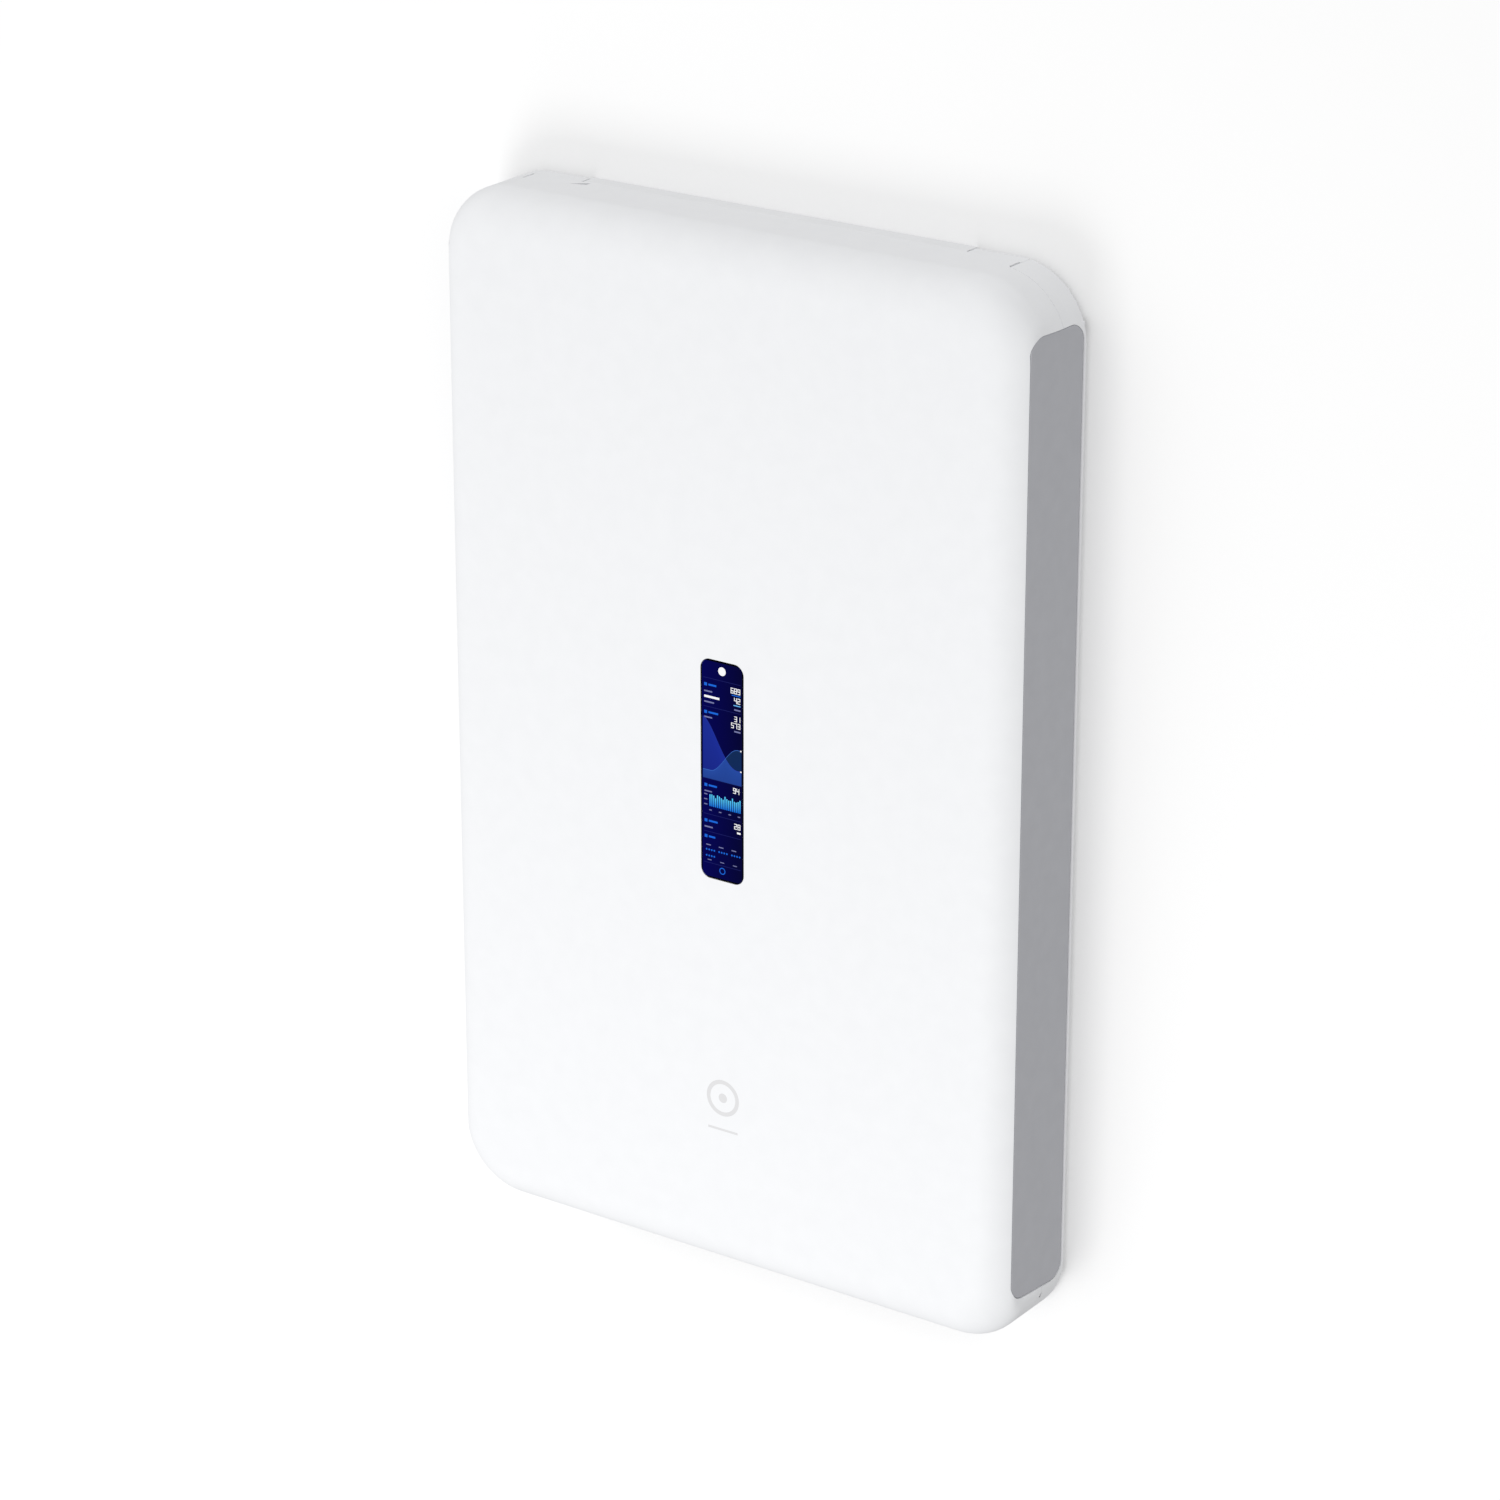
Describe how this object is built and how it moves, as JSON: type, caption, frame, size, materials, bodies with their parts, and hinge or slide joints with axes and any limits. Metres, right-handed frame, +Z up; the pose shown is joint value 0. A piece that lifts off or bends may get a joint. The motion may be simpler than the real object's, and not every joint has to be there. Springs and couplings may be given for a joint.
{
  "type": "wall network console",
  "caption": "Slim white wall-mounted network console with an upright touch display, grey side panels, cooling fans, downward ports and a steel hanging bracket.",
  "frame": {"origin": "centre of the four wall screws, on the wall's surface behind the bracket", "axes": "+X to the right seen from the front, +Y into the wall, +Z up"},
  "size_m": [0.325, 0.047, 0.51],
  "materials": {
    "bracket_steel": "white powder coat",
    "rubber": "matte",
    "cover_plastic": "fine satin moulded white",
    "housing_steel": "light powder coat",
    "screw_steel": "zinc plated",
    "plain_steel": "tin plated sheet",
    "side_panel_finish": "satin grey",
    "filter_mesh": "fine woven mesh",
    "display_glass": "polished",
    "gasket_foam": "soft foam",
    "black_plastic": "moulded",
    "rotor_plastic": "moulded",
    "ribbon_film": "polyimide film",
    "brass_parts": "bright",
    "board_laminate": "solder resist",
    "heatsink_aluminium": "extruded",
    "winding": "enamelled wire and tape",
    "lead_sheath": "smooth sheath",
    "antenna_metal": "plated strip"
  },
  "bodies": {
    "bracket": {"wall_bracket": "bracket_steel", "bracket_pads": "rubber"},
    "unit": {"front_cover": "cover_plastic", "rear_housing": "housing_steel", "housing_screws": "screw_steel", "hanger_plates": "plain_steel", "wall_bumpers": "rubber", "side_frame_left": "cover_plastic", "side_frame_right": "cover_plastic", "side_frame_screws": "screw_steel", "side_panel_left": "side_panel_finish", "side_panel_right": "side_panel_finish", "dust_filter_left": "filter_mesh", "dust_filter_right": "filter_mesh", "display_glass": "display_glass", "display_gasket": "gasket_foam", "display_panel": "black_plastic", "display_bracket": "plain_steel", "display_screws": "screw_steel", "display_ribbon": "ribbon_film", "port_panel": "plain_steel", "network_ports": "plain_steel", "uplink_port": "plain_steel", "fibre_cages": "plain_steel", "power_inlet": "black_plastic", "inlet_pins": "brass_parts", "reset_switch": "plain_steel", "main_board": "board_laminate", "board_standoffs": "brass_parts", "board_screws": "screw_steel", "main_chips": "black_plastic", "processor_heatsink": "heatsink_aluminium", "switch_heatsink": "heatsink_aluminium", "port_transformers": "black_plastic", "storage_card": "board_laminate", "coin_cell": "plain_steel", "ribbon_connector": "ribbon_film", "supply_board": "board_laminate", "supply_transformer": "winding", "supply_capacitors": "black_plastic", "supply_heatsinks": "heatsink_aluminium", "supply_chokes": "winding", "mains_lead": "lead_sheath", "supply_lead": "lead_sheath", "radio_board": "board_laminate", "radio_shields": "plain_steel", "antenna_1": "antenna_metal", "antenna_2": "antenna_metal", "antenna_3": "antenna_metal", "antenna_4": "antenna_metal", "antenna_leads": "lead_sheath", "fan_frame_1": "black_plastic", "fan_frame_2": "black_plastic", "fan_frame_3": "black_plastic", "fan_frame_4": "black_plastic"},
    "reset_button": {"reset_button": "black_plastic"},
    "fan_rotor_1": {"fan_rotor_1": "rotor_plastic"},
    "fan_rotor_2": {"fan_rotor_2": "rotor_plastic"},
    "fan_rotor_3": {"fan_rotor_3": "rotor_plastic"},
    "fan_rotor_4": {"fan_rotor_4": "rotor_plastic"}
  },
  "joints": [
    {"name": "unit_lift", "type": "slide", "parent": "bracket", "child": "unit", "axis": [0, 0, 1], "range_m": [0, 0.011]},
    {"name": "reset_press", "type": "slide", "parent": "unit", "child": "reset_button", "axis": [0, 0, 1], "range_m": [0, 0.0006], "stiffness_N_per_m": 150},
    {"name": "fan_spin_1", "type": "hinge", "parent": "unit", "child": "fan_rotor_1", "pos_m": [-0.134, -0.02485, -0.07], "axis": [-1, 0, 0], "continuous": true},
    {"name": "fan_spin_2", "type": "hinge", "parent": "unit", "child": "fan_rotor_2", "pos_m": [-0.134, -0.02485, 0.095], "axis": [-1, 0, 0], "continuous": true},
    {"name": "fan_spin_3", "type": "hinge", "parent": "unit", "child": "fan_rotor_3", "pos_m": [0.134, -0.02485, -0.07], "axis": [1, 0, 0], "continuous": true},
    {"name": "fan_spin_4", "type": "hinge", "parent": "unit", "child": "fan_rotor_4", "pos_m": [0.134, -0.02485, 0.095], "axis": [1, 0, 0], "continuous": true}
  ]
}
